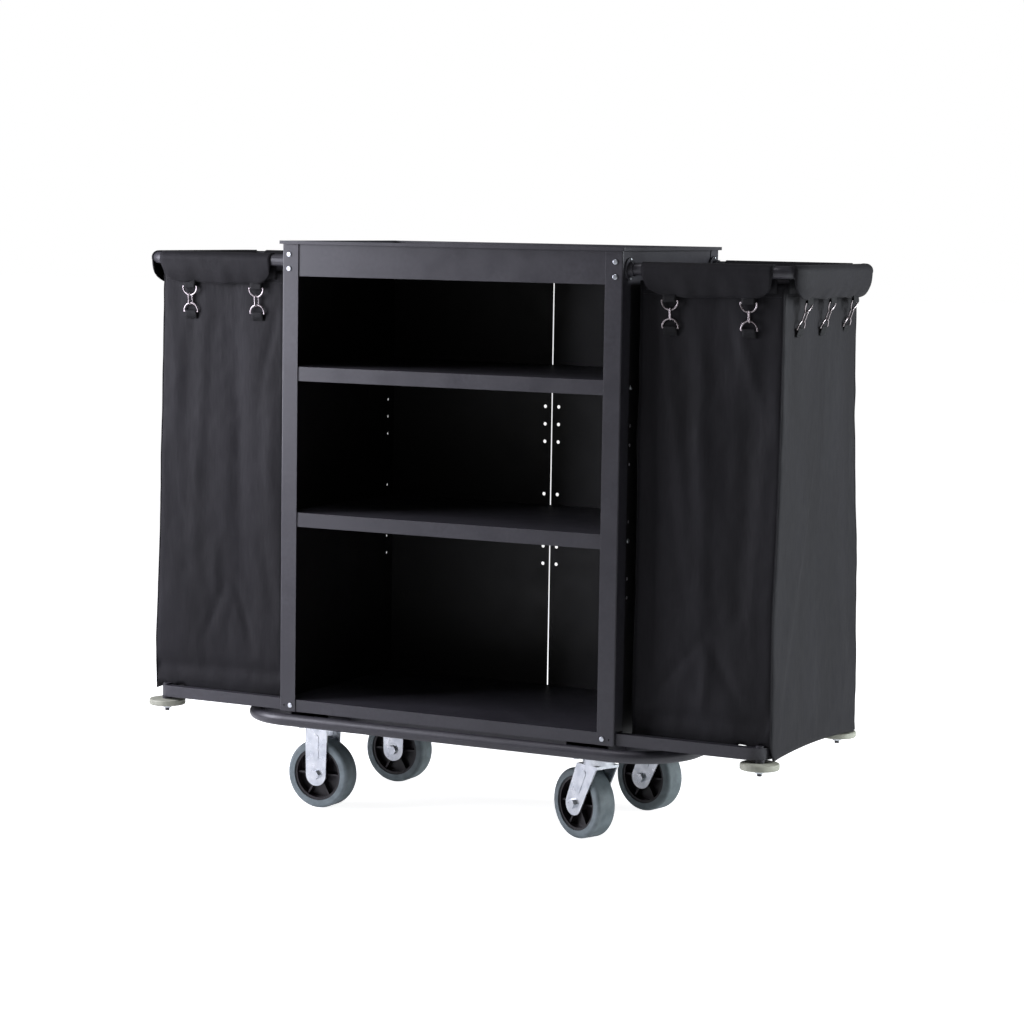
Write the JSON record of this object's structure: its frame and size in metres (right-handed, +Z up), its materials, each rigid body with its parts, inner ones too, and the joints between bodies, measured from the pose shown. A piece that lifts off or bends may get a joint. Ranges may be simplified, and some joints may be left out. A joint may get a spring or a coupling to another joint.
{
  "type": "housekeeping cart",
  "caption": "Steel housekeeping cart with a top tray, shelves and a deck, fixed and swivel casters, bumper wheels, and a clipped-on laundry bag at each end.",
  "frame": {"origin": "on the floor under the middle of the cart", "axes": "+X along the cart to the swivel-caster end, +Y to the closed back, +Z up"},
  "size_m": [1.593, 0.5184, 1.2565],
  "materials": {
    "frame_paint": "satin black-grey powder coat",
    "panel_paint": "satin black powder coat on sheet steel",
    "zinc": "bright zinc plated steel",
    "ring_steel": "nickel plated wire",
    "tyre": "grey thermoplastic rubber tread",
    "wheel_centre": "black moulded polypropylene",
    "bumper": "grey-beige non-marking bumper wheel",
    "bag_cloth": "black coated woven polyester"
  },
  "bodies": {
    "cabinet": {"post_front_left": "frame_paint", "post_front_right": "frame_paint", "post_back_left": "frame_paint", "post_back_right": "frame_paint", "side_panel_left": "panel_paint", "side_panel_right": "panel_paint", "back_panel_left": "panel_paint", "back_panel_right": "panel_paint", "tray_top": "frame_paint", "shelf_upper": "frame_paint", "shelf_lower": "frame_paint", "deck": "frame_paint", "base_ring": "frame_paint", "base_channel_left": "frame_paint", "base_channel_right": "frame_paint", "base_rails_middle": "frame_paint", "base_rails_outer": "frame_paint", "bag_loop_left": "frame_paint", "bag_loop_right": "frame_paint", "loop_flanges": "frame_paint", "bag_rail_left": "frame_paint", "bag_rail_right": "frame_paint", "bumper_spacers": "frame_paint", "bumper_bolts": "frame_paint", "post_screws": "zinc", "shelf_screws": "zinc", "flange_screws": "zinc", "rail_bolts": "zinc", "caster_bolts": "zinc", "bumper_nuts": "zinc", "kingpins": "zinc", "swivel_plate_front": "zinc", "swivel_plate_back": "zinc", "fork_front_left": "zinc", "axle_front_left": "zinc", "fork_back_left": "zinc", "axle_back_left": "zinc", "bag_left": "bag_cloth", "bag_rings_left": "ring_steel", "bag_hooks_left": "ring_steel", "bag_right": "bag_cloth", "bag_rings_right": "ring_steel", "bag_hooks_right": "ring_steel"},
    "wheel_front_left": {"tyre_front_left": "tyre", "hub_front_left": "wheel_centre"},
    "swivel_front": {"fork_front_right": "zinc", "axle_front_right": "zinc"},
    "wheel_front_right": {"tyre_front_right": "tyre", "hub_front_right": "wheel_centre"},
    "wheel_back_left": {"tyre_back_left": "tyre", "hub_back_left": "wheel_centre"},
    "swivel_back": {"fork_back_right": "zinc", "axle_back_right": "zinc"},
    "wheel_back_right": {"tyre_back_right": "tyre", "hub_back_right": "wheel_centre"},
    "bumper_front_left": {"bumper_wheel_front_left": "bumper"},
    "bumper_front_right": {"bumper_wheel_front_right": "bumper"},
    "bumper_back_left": {"bumper_wheel_back_left": "bumper"},
    "bumper_back_right": {"bumper_wheel_back_right": "bumper"}
  },
  "joints": [
    {"name": "wheel_spin_front_left", "type": "hinge", "parent": "cabinet", "child": "wheel_front_left", "pos_m": [-0.341, -0.172, 0.0762], "axis": [0, 1, 0], "continuous": true},
    {"name": "swivel_turn_front", "type": "hinge", "parent": "cabinet", "child": "swivel_front", "pos_m": [0.341, -0.172, 0.165], "axis": [0, 0, 1], "continuous": true},
    {"name": "wheel_spin_front_right", "type": "hinge", "parent": "swivel_front", "child": "wheel_front_right", "pos_m": [0.29989, -0.1537, 0.0762], "axis": [0.4067, 0.9135, 0], "continuous": true},
    {"name": "wheel_spin_back_left", "type": "hinge", "parent": "cabinet", "child": "wheel_back_left", "pos_m": [-0.341, 0.172, 0.0762], "axis": [0, 1, 0], "continuous": true},
    {"name": "swivel_turn_back", "type": "hinge", "parent": "cabinet", "child": "swivel_back", "pos_m": [0.341, 0.172, 0.165], "axis": [0, 0, 1], "continuous": true},
    {"name": "wheel_spin_back_right", "type": "hinge", "parent": "swivel_back", "child": "wheel_back_right", "pos_m": [0.29734, 0.18289, 0.0762], "axis": [0.2419, 0.9703, 0], "continuous": true},
    {"name": "bumper_spin_front_left", "type": "hinge", "parent": "cabinet", "child": "bumper_front_left", "pos_m": [-0.72721, -0.21821, 0.2085], "axis": [0, 0, 1], "continuous": true},
    {"name": "bumper_spin_front_right", "type": "hinge", "parent": "cabinet", "child": "bumper_front_right", "pos_m": [0.72721, -0.21821, 0.2085], "axis": [0, 0, 1], "continuous": true},
    {"name": "bumper_spin_back_left", "type": "hinge", "parent": "cabinet", "child": "bumper_back_left", "pos_m": [-0.72721, 0.21821, 0.2085], "axis": [0, 0, 1], "continuous": true},
    {"name": "bumper_spin_back_right", "type": "hinge", "parent": "cabinet", "child": "bumper_back_right", "pos_m": [0.72721, 0.21821, 0.2085], "axis": [0, 0, 1], "continuous": true}
  ]
}
